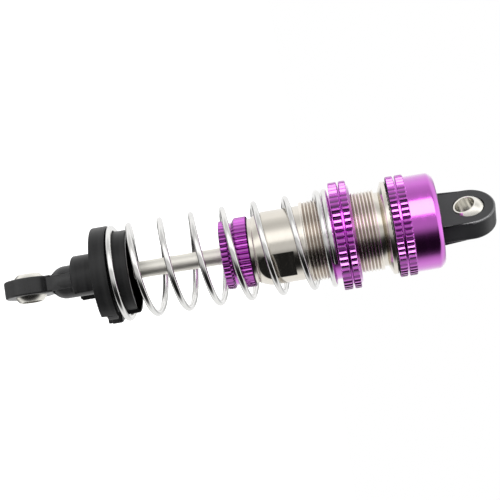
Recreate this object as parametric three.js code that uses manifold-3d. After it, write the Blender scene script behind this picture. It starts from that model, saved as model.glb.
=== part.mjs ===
// An oil-filled coilover shock absorber for a small off-road car, fully extended.
// Millimetres. The origin is the centre of the upper pivot ball, +Z runs up the damper's axis, and the
// upper eye's screw hole lies along Y. Every piece is a separate solid, placed where it sits in service.
import * as THREE from "three";
import { mergeVertices } from "three/addons/utils/BufferGeometryUtils.js";
import Module from "manifold-3d";

const wasm = await Module();
wasm.setup();

// ---------------------------------------------------------------- driving dimensions

// Clearances between pieces
const SEAT_GAP = 0.15; // faces that bear on each other
const RUNNING_GAP = 0.12; // a shaft in its hole, and a piece in its pocket
const SOCKET_GAP = 0.12; // a pivot ball in its socket

// Pivot balls
const BALL_RADIUS = 3.75;
const BALL_WIDTH = 5.8; // over the two flats
const BALL_BORE_RADIUS = 2.05; // clears an M4 screw
const BALL_BORE_CHAMFER = 0.1;
const UPPER_BALL_TILT = 16; // degrees about X, as the ball happens to lie in its eye
const LOWER_BALL_TURN = 0; // degrees about Z, the same

// Upper eyelet: a flat tongue on a round plug that the cap traps
const UPPER_EYE_RADIUS = 5.4;
const TONGUE_THICKNESS = 4.5;
const EYELET_REACH = 6.2; // ball centre to the cap's top face
const PLUG_RADIUS = 5.8;
const PLUG_FLANGE_RADIUS = 7;
const PLUG_FLANGE_THICKNESS = 1.6;

// Top cap
const CAP_RADIUS = 9.85;
const CAP_LENGTH = 9.6;
const CAP_CHAMFER = 1.2;
const CAP_ROOF = 1.5;
const CAP_TEETH = 56;
const CAP_KNURL_RADIUS = 10.35;
const CAP_RING_WIDTH = 1.6;
const CAP_RING_GROOVE = 0.4;

// Damper body
const BORE_RADIUS = 6;
const THREAD_RADIUS = 8.3; // over the crests
const THREAD_PITCH = 0.7;
const THREAD_DEPTH = 0.4;
const THREAD_LENGTH = 15.3;
const CAP_THREAD_RADIUS = 7.9;
const CAP_THREAD_LENGTH = 4.6;
const FLANGE_RADIUS = 9.55;
const FLANGE_THICKNESS = 0.9;
const FLANGE_CONE = 0.8;
const THREAD_RELIEF = 0.95;
const BARREL_RADIUS = 7.65;
const BARREL_LENGTH = 10.25; // thread to neck, its chamfer included
const BARREL_CHAMFER = 0.85;
const BARREL_CHAMFER_LENGTH = 2.6;
const FLAT_DISTANCE = 7.1; // axis to each wrench flat
const FLAT_START = 2.35; // thread down to the flats, which run out at the barrel's chamfer
const FLAT_TURN = -7; // degrees about Z
const NECK_LENGTH = 0.75;
const NECK_RADIUS = 6.7;
const SPIGOT_RADIUS = 5.7; // the threaded end inside the seal cap
const FLOOR_THICKNESS = 1.2; // between the oil chamber and the seal pocket

// Seal cap and the seals it holds in
const SEAL_CAP_RADIUS = 7.3;
const SEAL_CAP_LENGTH = 5.95;
const SEAL_CAP_LOWER_RADIUS = 7.1;
const SEAL_CAP_WAIST = 6.5;
const SEAL_CAP_UPPER_RING = 2.8;
const SEAL_CAP_LOWER_RING = 1.6;
const SEAL_CAP_TEETH = 42;
const SEAL_CAP_PLATE = 1.4;
const SEAL_SECTION = 0.8; // radius of a seal ring's section
const BUSHING_LENGTH = 1.5;
const SPACER_LENGTH = 0.7;

// Bladder
const BLADDER_WALL = 0.6;
const BLADDER_DEPTH = 2.6;

// Preload collar
const COLLAR_RADIUS = 11.1;
const COLLAR_TEETH = 52;
const COLLAR_POSITION = 8.8; // thread's top end down to the spring seat
const COLLAR_LOWER_RING = 1.8;
const COLLAR_GROOVE = 0.4;
const COLLAR_UPPER_RING = 1.4;
const COLLAR_SHOULDER = 0.5;
const COLLAR_SHOULDER_RADIUS = 9.9;
const COLLAR_HUB_LENGTH = 2.2;
const COLLAR_HUB_RADIUS = 8.7;
const FRICTION_SECTION = 0.5;

// Spring
const WIRE_RADIUS = 0.6;
const COIL_RADIUS = 9.5;
const SPRING_START = -0.4; // turns, counted from the direction SPRING_TURN
const SPRING_END = 8.34;
const SPRING_TURN = -130; // degrees about Z
const LOWER_CLOSED_PITCH = 0.2;
const UPPER_CLOSED_PITCH = 1.26;
const LOWER_RAMP_START = 0; // turns at which the pitch starts and stops changing
const LOWER_RAMP_END = 0.9;
const UPPER_RAMP_START = 6.95;
const UPPER_RAMP_END = 7.15;

// Shaft and piston
const SHAFT_RADIUS = 1.75;
const SHAFT_EXPOSED = 22.85; // seal cap down to the spring retainer's seat
const SHAFT_IN_ROD_END = 2.6; // below the retainer's seat
const PISTON_THICKNESS = 3;
const PISTON_PORTS = 4;
const PISTON_PORT_RADIUS = 0.65;
const PISTON_PORT_CIRCLE = 4;
const PISTON_REST_GAP = 0.3; // lower clip over the chamber's floor, fully extended
const CLIP_THICKNESS = 0.4;
const CLIP_RADIUS = 3;
const CLIP_GROOVE_DEPTH = 0.4;
const CLIP_OPENING = 70; // degrees
const SHAFT_STUB = 0.8; // above the upper clip's groove

// Spring retainer
const RETAINER_RADIUS = 10.15;
const RETAINER_FLANGE = 3.3;
const RETAINER_CUP_DEPTH = 4.05; // above the seat, inside the spring
const RETAINER_CUP_RADIUS = 8.7;
const RETAINER_CUP_WALL = 1.1;
const RETAINER_RECESS = 1.4;
const RETAINER_HUB_RADIUS = 5.1;
const RETAINER_HUB_LENGTH = 5.25;
const RETAINER_SLOT_TURN = 36; // degrees about Z
const RETAINER_SLOT_GAP = 0.15; // slot wall to shaft

// Lower rod end
const BOSS_RADIUS = 3.42;
const BOSS_IN_RETAINER = 6.2; // above the retainer's lower face
const BOSS_BELOW = 1.8; // straight part under the retainer, before the dome
const LOWER_EYE_RADIUS = 5.25;
const LOWER_EYE_THICKNESS = 3.65;
const LOWER_EYE_TURN = -136.5; // degrees about Z, of the eye's screw axis
const LOWER_EYE_DROP = 9.6; // retainer's lower face to the lower ball's centre
const ARM_THICKNESS = 3.2;
const ARM_WIDTH = 6.2;

// Facets of round shapes
const COARSE = 24;
const FINE = 32;
const RING_SIDES = 6;
const WIRE_SIDES = 6;
const WIRE_STEPS_PER_TURN = 18;
const CLIP_SEGMENTS = 10;

// ---------------------------------------------------------------- places along the axis

const capTop = -EYELET_REACH;
const capBottom = capTop - CAP_LENGTH;
const roofUnderside = capTop - CAP_ROOF;
const flangeTop = capBottom - SEAT_GAP;
const flangeBottom = flangeTop - FLANGE_THICKNESS;
const coneBottom = flangeBottom - FLANGE_CONE;
const threadTop = coneBottom - THREAD_RELIEF;
const threadBottom = threadTop - THREAD_LENGTH;
const bodyTop = flangeTop + CAP_THREAD_LENGTH;
const barrelBottom = threadBottom - BARREL_LENGTH;
const sealCapTop = barrelBottom - NECK_LENGTH;
const sealCapBottom = sealCapTop - SEAL_CAP_LENGTH;
const spigotBottom = sealCapBottom + SEAL_CAP_PLATE + SEAT_GAP;
const holeRadius = SHAFT_RADIUS + RUNNING_GAP;
const sealCentreRadius = holeRadius + SEAL_SECTION;
const pocketRadius = sealCentreRadius + SEAL_SECTION + RUNNING_GAP;
const lowerSealCentre = spigotBottom + BUSHING_LENGTH + RUNNING_GAP + SEAL_SECTION;
const spacerBottom = lowerSealCentre + SEAL_SECTION + RUNNING_GAP;
const upperSealCentre = spacerBottom + SPACER_LENGTH + RUNNING_GAP + SEAL_SECTION;
const pocketTop = upperSealCentre + SEAL_SECTION + RUNNING_GAP;
const chamberFloor = pocketTop + FLOOR_THICKNESS;
const collarSeat = threadTop - COLLAR_POSITION;
const retainerSeat = sealCapBottom - SHAFT_EXPOSED;
const retainerBottom = retainerSeat - RETAINER_FLANGE - RETAINER_HUB_LENGTH;
const lowerEye = retainerBottom - LOWER_EYE_DROP;
const lowerClipBottom = chamberFloor + PISTON_REST_GAP;
const pistonBottom = lowerClipBottom + CLIP_THICKNESS + RUNNING_GAP;
const pistonTop = pistonBottom + PISTON_THICKNESS;
const upperClipBottom = pistonTop + RUNNING_GAP;
const shaftTop = upperClipBottom + CLIP_THICKNESS + SHAFT_STUB;
const springFoot = retainerSeat + WIRE_RADIUS;
const springHead = collarSeat - WIRE_RADIUS;

// ---------------------------------------------------------------- materials

function material(color, metalness, roughness) {
  return new THREE.MeshStandardMaterial({ color, metalness, roughness });
}

const anodised = () => material("#8a2a9c", 1, 0.28);
const nickel = () => material("#cfc8ba", 1, 0.22);
const steel = () => material("#bdb7ad", 1, 0.25);
const black = () => material("#151517", 0, 0.5);
const rubber = () => material("#1c1c1c", 0, 0.8);
const acetal = () => material("#e6e3da", 0, 0.5);

// ---------------------------------------------------------------- helpers

const radians = THREE.MathUtils.degToRad;

// A geometry as a manifold-3d solid.
function solid(geometry) {
  const bare = geometry.clone();
  bare.deleteAttribute("normal");
  bare.deleteAttribute("uv");
  const merged = mergeVertices(bare, 1e-4);
  return new wasm.Manifold(
    new wasm.Mesh({
      numProp: 3,
      vertProperties: merged.attributes.position.array,
      triVerts: new Uint32Array(merged.index.array),
    }),
  );
}

// A manifold-3d solid as a geometry with flat normals.
function geometryOf(made) {
  const mesh = made.getMesh();
  const positions = new Float32Array(mesh.numVert * 3);
  for (let i = 0; i < mesh.numVert; i++) {
    const from = i * mesh.numProp;
    positions.set(mesh.vertProperties.subarray(from, from + 3), i * 3);
  }
  const indexed = new THREE.BufferGeometry();
  indexed.setAttribute("position", new THREE.BufferAttribute(positions, 3));
  indexed.setIndex(new THREE.BufferAttribute(mesh.triVerts, 1));
  const flat = indexed.toNonIndexed();
  flat.computeVertexNormals();
  return flat;
}

// A solid of revolution about Z from [radius, z] pairs that go up the outside, or round the section
// with the outside going up.
function turned(profile, sides = COARSE) {
  const points = profile.map(([r, z]) => new THREE.Vector2(r, z));
  if (profile[0][0] > 0) points.push(points[0].clone());
  const lathe = new THREE.LatheGeometry(points, sides);
  lathe.rotateX(Math.PI / 2);
  return lathe;
}

const turnedSolid = (profile, sides) => solid(turned(profile, sides));

// A plain cylinder along Z between two heights.
function rod(radius, bottom, top, sides = COARSE) {
  return turnedSolid([[0, bottom], [radius, bottom], [radius, top], [0, top]], sides);
}

// A ring of round section about Z.
function ring(centreRadius, section, height) {
  const torus = new THREE.TorusGeometry(centreRadius, section, RING_SIDES, COARSE);
  torus.translate(0, 0, height);
  return torus;
}

// A disc between two heights whose edge is cut into teeth.
function toothed(radius, depth, teeth, bottom, top) {
  const outline = new THREE.Shape();
  for (let i = 0; i < teeth * 2; i++) {
    const r = i % 2 ? radius - depth : radius;
    const a = (Math.PI * i) / teeth;
    const step = i ? "lineTo" : "moveTo";
    outline[step](r * Math.cos(a), r * Math.sin(a));
  }
  const disc = new THREE.ExtrudeGeometry(outline, { depth: top - bottom, bevelEnabled: false });
  disc.translate(0, 0, bottom);
  return solid(disc);
}

// A block centred on its X and Y, between two heights, turned about Z.
function block(width, depth, bottom, top, turn = 0, shift = 0) {
  const box = new THREE.BoxGeometry(width, depth, top - bottom);
  box.translate(shift, 0, (bottom + top) / 2);
  box.rotateZ(radians(turn));
  return solid(box);
}

// A plate across Y: a round eye about the origin and a straight arm of the given width, up or down.
function eyePlate(radius, armWidth, armEnd, thickness) {
  const half = armWidth / 2;
  const lean = Math.asin(Math.min(1, half / radius));
  const outline = new THREE.Shape();
  const side = Math.sign(armEnd);
  const facing = (side * Math.PI) / 2;
  const start = facing - side * lean;
  outline.moveTo(half, armEnd);
  outline.lineTo(radius * Math.cos(start), radius * Math.sin(start));
  outline.absarc(0, 0, radius, start, facing + side * lean - side * 2 * Math.PI, side > 0);
  outline.lineTo(-half, armEnd);
  outline.closePath();
  const plate = new THREE.ExtrudeGeometry(outline, {
    depth: thickness,
    bevelEnabled: false,
    curveSegments: COARSE,
  });
  plate.translate(0, 0, -thickness / 2);
  plate.rotateX(Math.PI / 2);
  return plate;
}

// The outline of a ball with two flats and a chamfered bore, as a section about Z.
function ballGeometry() {
  const half = BALL_WIDTH / 2;
  const flat = Math.sqrt(BALL_RADIUS ** 2 - half ** 2);
  const rise = Math.asin(half / BALL_RADIUS);
  const profile = [
    [BALL_BORE_RADIUS, -half + BALL_BORE_CHAMFER],
    [BALL_BORE_RADIUS + BALL_BORE_CHAMFER, -half],
    [flat, -half],
  ];
  const steps = 6;
  for (let i = 1; i < steps; i++) {
    const a = rise * ((2 * i) / steps - 1);
    profile.push([BALL_RADIUS * Math.cos(a), BALL_RADIUS * Math.sin(a)]);
  }
  profile.push([flat, half]);
  profile.push([BALL_BORE_RADIUS + BALL_BORE_CHAMFER, half]);
  profile.push([BALL_BORE_RADIUS, half - BALL_BORE_CHAMFER]);
  return turned(profile, COARSE);
}

const socketCutter = () => solid(new THREE.SphereGeometry(BALL_RADIUS + SOCKET_GAP, COARSE, COARSE / 2));

const group = new THREE.Group();

function add(name, geometry, finish) {
  const mesh = new THREE.Mesh(geometry, finish);
  mesh.name = name;
  group.add(mesh);
}

// ---------------------------------------------------------------- pivot balls and eyes

const upperBall = ballGeometry();
upperBall.rotateX(Math.PI / 2);
upperBall.rotateX(radians(UPPER_BALL_TILT));
add("upper_pivot_ball", upperBall, nickel());

const lowerBall = ballGeometry();
lowerBall.rotateX(Math.PI / 2);
lowerBall.rotateZ(radians(LOWER_EYE_TURN + 90 + LOWER_BALL_TURN));
lowerBall.translate(0, 0, lowerEye);
add("lower_pivot_ball", lowerBall, nickel());

const plugTop = capTop - SEAT_GAP;
const plugFlangeTop = roofUnderside - SEAT_GAP;
const plugBottom = plugFlangeTop - PLUG_FLANGE_THICKNESS;
const tongue = solid(
  eyePlate(UPPER_EYE_RADIUS, UPPER_EYE_RADIUS * 2, (plugFlangeTop + plugBottom) / 2, TONGUE_THICKNESS),
);
const plug = turnedSolid([
  [0, plugBottom],
  [PLUG_FLANGE_RADIUS, plugBottom],
  [PLUG_FLANGE_RADIUS, plugFlangeTop],
  [PLUG_RADIUS, plugFlangeTop],
  [PLUG_RADIUS, plugTop],
  [0, plugTop],
], FINE);
add("upper_eyelet", geometryOf(tongue.add(plug).subtract(socketCutter())), black());

// ---------------------------------------------------------------- top cap and bladder

const capWall = turnedSolid([
  [CAP_THREAD_RADIUS + RUNNING_GAP, capBottom],
  [CAP_RADIUS - CAP_RING_GROOVE, capBottom],
  [CAP_RADIUS - CAP_RING_GROOVE, capBottom + CAP_RING_WIDTH * 2 + CAP_RING_GROOVE],
  [CAP_RADIUS, capBottom + CAP_RING_WIDTH * 2 + CAP_RING_GROOVE],
  [CAP_RADIUS, capTop - CAP_CHAMFER],
  [CAP_RADIUS - CAP_CHAMFER / 3, capTop - CAP_CHAMFER / 3],
  [CAP_RADIUS - CAP_CHAMFER, capTop],
  [PLUG_RADIUS + RUNNING_GAP, capTop],
  [PLUG_RADIUS + RUNNING_GAP, roofUnderside],
  [CAP_THREAD_RADIUS + RUNNING_GAP, roofUnderside],
], FINE);
const capBore = rod((CAP_THREAD_RADIUS + CAP_RADIUS) / 2, capBottom - 1, roofUnderside, FINE);
const capRings = [0, CAP_RING_WIDTH + CAP_RING_GROOVE].map((rise) =>
  toothed(
    CAP_KNURL_RADIUS,
    CAP_RING_GROOVE,
    CAP_TEETH,
    capBottom + rise,
    capBottom + rise + CAP_RING_WIDTH,
  ).subtract(capBore),
);
const cap = capRings.reduce((sum, next) => sum.add(next), capWall);
add("top_cap", geometryOf(cap), anodised());

// A cup of rubber whose rim is pinched between the body and the eyelet's plug.
const rimBottom = bodyTop + SEAT_GAP;
const rimTop = plugBottom - SEAT_GAP;
const bladderRadius = BORE_RADIUS - RUNNING_GAP;
add("bladder", turned([
  [0, rimBottom - BLADDER_DEPTH],
  [bladderRadius - BLADDER_WALL, rimBottom - BLADDER_DEPTH],
  [bladderRadius, rimBottom - BLADDER_DEPTH + BLADDER_WALL],
  [bladderRadius, rimBottom],
  [CAP_THREAD_RADIUS - RUNNING_GAP, rimBottom],
  [CAP_THREAD_RADIUS - RUNNING_GAP, rimTop],
  [bladderRadius - BLADDER_WALL, rimTop],
  [bladderRadius - BLADDER_WALL, rimBottom - BLADDER_DEPTH + BLADDER_WALL],
  [0, rimBottom - BLADDER_DEPTH + BLADDER_WALL],
], FINE), rubber());

// ---------------------------------------------------------------- damper body

const bodyProfile = [
  [pocketRadius, spigotBottom],
  [SPIGOT_RADIUS, spigotBottom],
  [SPIGOT_RADIUS, sealCapTop],
  [NECK_RADIUS, barrelBottom],
  [BARREL_RADIUS - BARREL_CHAMFER, barrelBottom],
  [BARREL_RADIUS, barrelBottom + BARREL_CHAMFER_LENGTH],
  [BARREL_RADIUS, threadBottom],
];
const crests = Math.floor(THREAD_LENGTH / THREAD_PITCH);
for (let i = 0; i < crests; i++) {
  const root = threadTop - (crests - i) * THREAD_PITCH;
  bodyProfile.push([THREAD_RADIUS - THREAD_DEPTH, root]);
  bodyProfile.push([THREAD_RADIUS, root + THREAD_PITCH / 2]);
}
bodyProfile.push(
  [THREAD_RADIUS - THREAD_DEPTH, threadTop],
  [BARREL_RADIUS, threadTop],
  [BARREL_RADIUS, coneBottom],
  [FLANGE_RADIUS, flangeBottom],
  [FLANGE_RADIUS, flangeTop],
  [CAP_THREAD_RADIUS, flangeTop],
  [CAP_THREAD_RADIUS, bodyTop],
  [BORE_RADIUS, bodyTop],
  [BORE_RADIUS, chamberFloor],
  [holeRadius, chamberFloor],
  [holeRadius, pocketTop],
  [pocketRadius, pocketTop],
);
const flatTop = threadBottom - FLAT_START;
const flatWidth = BARREL_RADIUS * 2;
const flats = [1, -1].map((side) =>
  block(
    flatWidth,
    flatWidth,
    barrelBottom - NECK_LENGTH / 2,
    flatTop,
    FLAT_TURN,
    side * (FLAT_DISTANCE + flatWidth / 2),
  ),
);
const body = flats.reduce((sum, next) => sum.subtract(next), turnedSolid(bodyProfile, FINE));
add("shock_body", geometryOf(body), nickel());

// ---------------------------------------------------------------- seal cap and seals

const sealCapBore = SPIGOT_RADIUS + RUNNING_GAP;
const sealCapWall = turnedSolid([
  [holeRadius, sealCapBottom],
  [SEAL_CAP_WAIST, sealCapBottom],
  [SEAL_CAP_WAIST, sealCapTop],
  [sealCapBore, sealCapTop],
  [sealCapBore, sealCapBottom + SEAL_CAP_PLATE],
  [holeRadius, sealCapBottom + SEAL_CAP_PLATE],
], FINE);
const sealCapCore = rod((sealCapBore + SEAL_CAP_WAIST) / 2, sealCapBottom - 1, sealCapTop + 1, FINE);
const sealCapKnurl = (radius, bottom, top) =>
  toothed(radius, CAP_RING_GROOVE, SEAL_CAP_TEETH, bottom, top).subtract(sealCapCore);
const sealCap = sealCapWall
  .add(sealCapKnurl(SEAL_CAP_LOWER_RADIUS, sealCapBottom, sealCapBottom + SEAL_CAP_LOWER_RING))
  .add(sealCapKnurl(SEAL_CAP_RADIUS, sealCapTop - SEAL_CAP_UPPER_RING, sealCapTop));
add("seal_cap", geometryOf(sealCap), anodised());

// A plain ring about Z.
const washer = (inner, outer, bottom, top) =>
  turned([[inner, bottom], [outer, bottom], [outer, top], [inner, top]], COARSE);

const pocketFit = pocketRadius - RUNNING_GAP;
add("shaft_bushing", washer(holeRadius, pocketFit, spigotBottom, spigotBottom + BUSHING_LENGTH), acetal());
add("lower_seal", ring(sealCentreRadius, SEAL_SECTION, lowerSealCentre), rubber());
add("seal_spacer", washer(holeRadius, pocketFit, spacerBottom, spacerBottom + SPACER_LENGTH), acetal());
add("upper_seal", ring(sealCentreRadius, SEAL_SECTION, upperSealCentre), rubber());

// ---------------------------------------------------------------- preload collar

const threadBore = THREAD_RADIUS + RUNNING_GAP;
const lowerRingTop = collarSeat + COLLAR_LOWER_RING;
const upperRingBottom = lowerRingTop + COLLAR_GROOVE;
const upperRingTop = upperRingBottom + COLLAR_UPPER_RING;
const collarTop = upperRingTop + COLLAR_SHOULDER;
const frictionCentre = (collarSeat + upperRingTop) / 2;
const frictionRadius = threadBore + FRICTION_SECTION;
const frictionPocket = frictionRadius + FRICTION_SECTION + RUNNING_GAP;
const frictionHalf = FRICTION_SECTION + RUNNING_GAP;
const collarCore = turnedSolid([
  [threadBore, collarSeat - COLLAR_HUB_LENGTH],
  [COLLAR_HUB_RADIUS, collarSeat - COLLAR_HUB_LENGTH],
  [COLLAR_HUB_RADIUS, collarSeat],
  [COLLAR_RADIUS - COLLAR_GROOVE * 2, collarSeat],
  [COLLAR_RADIUS - COLLAR_GROOVE * 2, upperRingTop],
  [COLLAR_SHOULDER_RADIUS, collarTop],
  [threadBore, collarTop],
  [threadBore, frictionCentre + frictionHalf],
  [frictionPocket, frictionCentre + frictionHalf],
  [frictionPocket, frictionCentre - frictionHalf],
  [threadBore, frictionCentre - frictionHalf],
], FINE);
const collarVoid = rod(COLLAR_SHOULDER_RADIUS, collarSeat - 1, collarTop + 1, FINE);
const collarKnurl = (bottom, top) =>
  toothed(COLLAR_RADIUS, COLLAR_GROOVE, COLLAR_TEETH, bottom, top).subtract(collarVoid);
const collar = collarCore
  .add(collarKnurl(collarSeat, lowerRingTop))
  .add(collarKnurl(upperRingBottom, upperRingTop));
add("preload_collar", geometryOf(collar), anodised());
add("collar_friction_ring", ring(frictionRadius, FRICTION_SECTION, frictionCentre), rubber());

// ---------------------------------------------------------------- spring

// Height above the foot of a wire whose pitch starts closed, opens to `pitch` and closes again.
function springRise(turn, pitch) {
  const ramp = (from, to, start, end) => {
    const t = Math.min(Math.max(turn, start), end) - start;
    return from * t + ((to - from) * t * t) / (2 * (end - start));
  };
  const span = (start, end) => Math.min(Math.max(turn, start), end) - start;
  return (
    LOWER_CLOSED_PITCH * span(SPRING_START, LOWER_RAMP_START) +
    ramp(LOWER_CLOSED_PITCH, pitch, LOWER_RAMP_START, LOWER_RAMP_END) +
    pitch * span(LOWER_RAMP_END, UPPER_RAMP_START) +
    ramp(pitch, UPPER_CLOSED_PITCH, UPPER_RAMP_START, UPPER_RAMP_END) +
    UPPER_CLOSED_PITCH * span(UPPER_RAMP_END, SPRING_END)
  );
}

const riseAtNone = springRise(SPRING_END, 0);
const risePerPitch = springRise(SPRING_END, 1) - riseAtNone;
const activePitch = (springHead - springFoot - riseAtNone) / risePerPitch;

// A round wire along the coil, with flat ends.
function springGeometry() {
  const steps = Math.round((SPRING_END - SPRING_START) * WIRE_STEPS_PER_TURN);
  const positions = [];
  const faces = [];
  const centre = (i) => {
    const turn = SPRING_START + ((SPRING_END - SPRING_START) * i) / steps;
    const a = 2 * Math.PI * turn + radians(SPRING_TURN);
    return [a, springFoot + springRise(turn, activePitch)];
  };
  for (let i = 0; i <= steps; i++) {
    const [a, z] = centre(i);
    for (let k = 0; k < WIRE_SIDES; k++) {
      const b = (2 * Math.PI * k) / WIRE_SIDES;
      const r = COIL_RADIUS + WIRE_RADIUS * Math.cos(b);
      positions.push(r * Math.cos(a), r * Math.sin(a), z + WIRE_RADIUS * Math.sin(b));
    }
  }
  for (let i = 0; i < steps; i++) {
    for (let k = 0; k < WIRE_SIDES; k++) {
      const here = i * WIRE_SIDES;
      const next = here + WIRE_SIDES;
      const side = (k + 1) % WIRE_SIDES;
      faces.push(here + k, next + side, next + k);
      faces.push(here + k, here + side, next + side);
    }
  }
  const last = steps * WIRE_SIDES;
  for (let k = 1; k < WIRE_SIDES - 1; k++) {
    faces.push(0, k + 1, k);
    faces.push(last, last + k, last + k + 1);
  }
  const wire = new THREE.BufferGeometry();
  wire.setAttribute("position", new THREE.Float32BufferAttribute(positions, 3));
  wire.setIndex(faces);
  const made = solid(wire);
  if (made.volume() > 0) return geometryOf(made);
  for (let i = 0; i < faces.length; i += 3) {
    [faces[i + 1], faces[i + 2]] = [faces[i + 2], faces[i + 1]];
  }
  wire.setIndex(faces);
  return geometryOf(solid(wire));
}

add("spring", springGeometry(), steel());

// ---------------------------------------------------------------- shaft, piston and clips

const clipGroove = (bottom) => [
  [SHAFT_RADIUS, bottom - RUNNING_GAP / 2],
  [SHAFT_RADIUS - CLIP_GROOVE_DEPTH, bottom - RUNNING_GAP / 2],
  [SHAFT_RADIUS - CLIP_GROOVE_DEPTH, bottom + CLIP_THICKNESS + RUNNING_GAP / 2],
  [SHAFT_RADIUS, bottom + CLIP_THICKNESS + RUNNING_GAP / 2],
];
const shaftBottom = retainerSeat - SHAFT_IN_ROD_END;
add("shaft", turned([
  [0, shaftBottom],
  [SHAFT_RADIUS, shaftBottom],
  ...clipGroove(lowerClipBottom),
  ...clipGroove(upperClipBottom),
  [SHAFT_RADIUS, shaftTop - CLIP_GROOVE_DEPTH],
  [SHAFT_RADIUS - CLIP_GROOVE_DEPTH, shaftTop],
  [0, shaftTop],
], COARSE), steel());

let piston = solid(washer(SHAFT_RADIUS + RUNNING_GAP, BORE_RADIUS - RUNNING_GAP, pistonBottom, pistonTop));
for (let i = 0; i < PISTON_PORTS; i++) {
  const port = new THREE.CylinderGeometry(PISTON_PORT_RADIUS, PISTON_PORT_RADIUS, PISTON_THICKNESS * 2, 12);
  port.rotateX(Math.PI / 2);
  const a = (2 * Math.PI * i) / PISTON_PORTS;
  const reach = PISTON_PORT_CIRCLE;
  port.translate(reach * Math.cos(a), reach * Math.sin(a), (pistonBottom + pistonTop) / 2);
  piston = piston.subtract(solid(port));
}
add("piston", geometryOf(piston), acetal());

// A flat C of spring steel seated in a groove of the shaft.
function clip(bottom) {
  const half = radians(CLIP_OPENING) / 2;
  const inner = SHAFT_RADIUS - CLIP_GROOVE_DEPTH + RUNNING_GAP / 2;
  const outline = new THREE.Shape();
  outline.absarc(0, 0, CLIP_RADIUS, half, 2 * Math.PI - half, false);
  outline.absarc(0, 0, inner, 2 * Math.PI - half, half, true);
  outline.closePath();
  const made = new THREE.ExtrudeGeometry(outline, {
    depth: CLIP_THICKNESS,
    bevelEnabled: false,
    curveSegments: CLIP_SEGMENTS,
  });
  made.translate(0, 0, bottom);
  return made;
}

add("lower_clip", clip(lowerClipBottom), steel());
add("upper_clip", clip(upperClipBottom), steel());

// ---------------------------------------------------------------- spring retainer

const cupTop = retainerSeat + RETAINER_CUP_DEPTH;
const flangeUnderside = retainerSeat - RETAINER_FLANGE;
const bossTop = retainerBottom + BOSS_IN_RETAINER;
const retainerBody = turnedSolid([
  [0, retainerBottom],
  [RETAINER_HUB_RADIUS, retainerBottom],
  [RETAINER_HUB_RADIUS, flangeUnderside],
  [RETAINER_RADIUS, flangeUnderside],
  [RETAINER_RADIUS, retainerSeat],
  [RETAINER_CUP_RADIUS, retainerSeat],
  [RETAINER_CUP_RADIUS, cupTop],
  [RETAINER_CUP_RADIUS - RETAINER_CUP_WALL, cupTop],
  [RETAINER_CUP_RADIUS - RETAINER_CUP_WALL, cupTop - RETAINER_RECESS],
  [0, cupTop - RETAINER_RECESS],
], FINE);
const pocketWall = BOSS_RADIUS + RUNNING_GAP;
const pocketEnd = bossTop + SEAT_GAP;
const slotHalf = SHAFT_RADIUS + RETAINER_SLOT_GAP;
const reach = RETAINER_RADIUS * 2;
const retainer = retainerBody
  .subtract(rod(pocketWall, retainerBottom - 1, pocketEnd))
  .subtract(block(reach, pocketWall * 2, retainerBottom - 1, pocketEnd, RETAINER_SLOT_TURN, reach / 2))
  .subtract(rod(slotHalf, retainerBottom, cupTop + 1))
  .subtract(block(reach, slotHalf * 2, retainerBottom, cupTop + 1, RETAINER_SLOT_TURN, reach / 2));
add("spring_retainer", geometryOf(retainer), black());

// ---------------------------------------------------------------- lower rod end

const domeEnd = retainerBottom - BOSS_BELOW;
const domeProfile = [];
const domeSteps = 5;
for (let i = 0; i <= domeSteps; i++) {
  const a = (Math.PI / 2) * (i / domeSteps - 1);
  domeProfile.push([i ? BOSS_RADIUS * Math.cos(a) : 0, domeEnd + BOSS_RADIUS * Math.sin(a)]);
}
const boss = turnedSolid([...domeProfile, [BOSS_RADIUS, bossTop], [0, bossTop]]);
const ringPlate = eyePlate(LOWER_EYE_RADIUS, ARM_WIDTH, LOWER_EYE_RADIUS, LOWER_EYE_THICKNESS);
const arm = new THREE.BoxGeometry(ARM_WIDTH, ARM_THICKNESS, LOWER_EYE_DROP);
arm.translate(0, 0, LOWER_EYE_DROP / 2);
const eye = solid(ringPlate).add(solid(arm)).subtract(socketCutter());
const eyeGeometry = geometryOf(eye);
eyeGeometry.rotateZ(radians(LOWER_EYE_TURN + 90));
eyeGeometry.translate(0, 0, lowerEye);
const shaftHole = rod(SHAFT_RADIUS + RUNNING_GAP / 2, shaftBottom - SEAT_GAP, bossTop + 1);
const bossSocket = socketCutter().rotate([0, 0, LOWER_EYE_TURN + 90]).translate([0, 0, lowerEye]);
const rodEnd = boss.subtract(shaftHole).subtract(bossSocket).add(solid(eyeGeometry));
add("rod_end", geometryOf(rodEnd), black());

export default group;
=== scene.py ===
"""Looks for the coilover: fine surfaces, materials, soft studio light and the camera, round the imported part.

Lengths are in mm unless a comment says otherwise.
"""
import math

import bmesh
import bpy
from mathutils import Matrix, Vector


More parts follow.
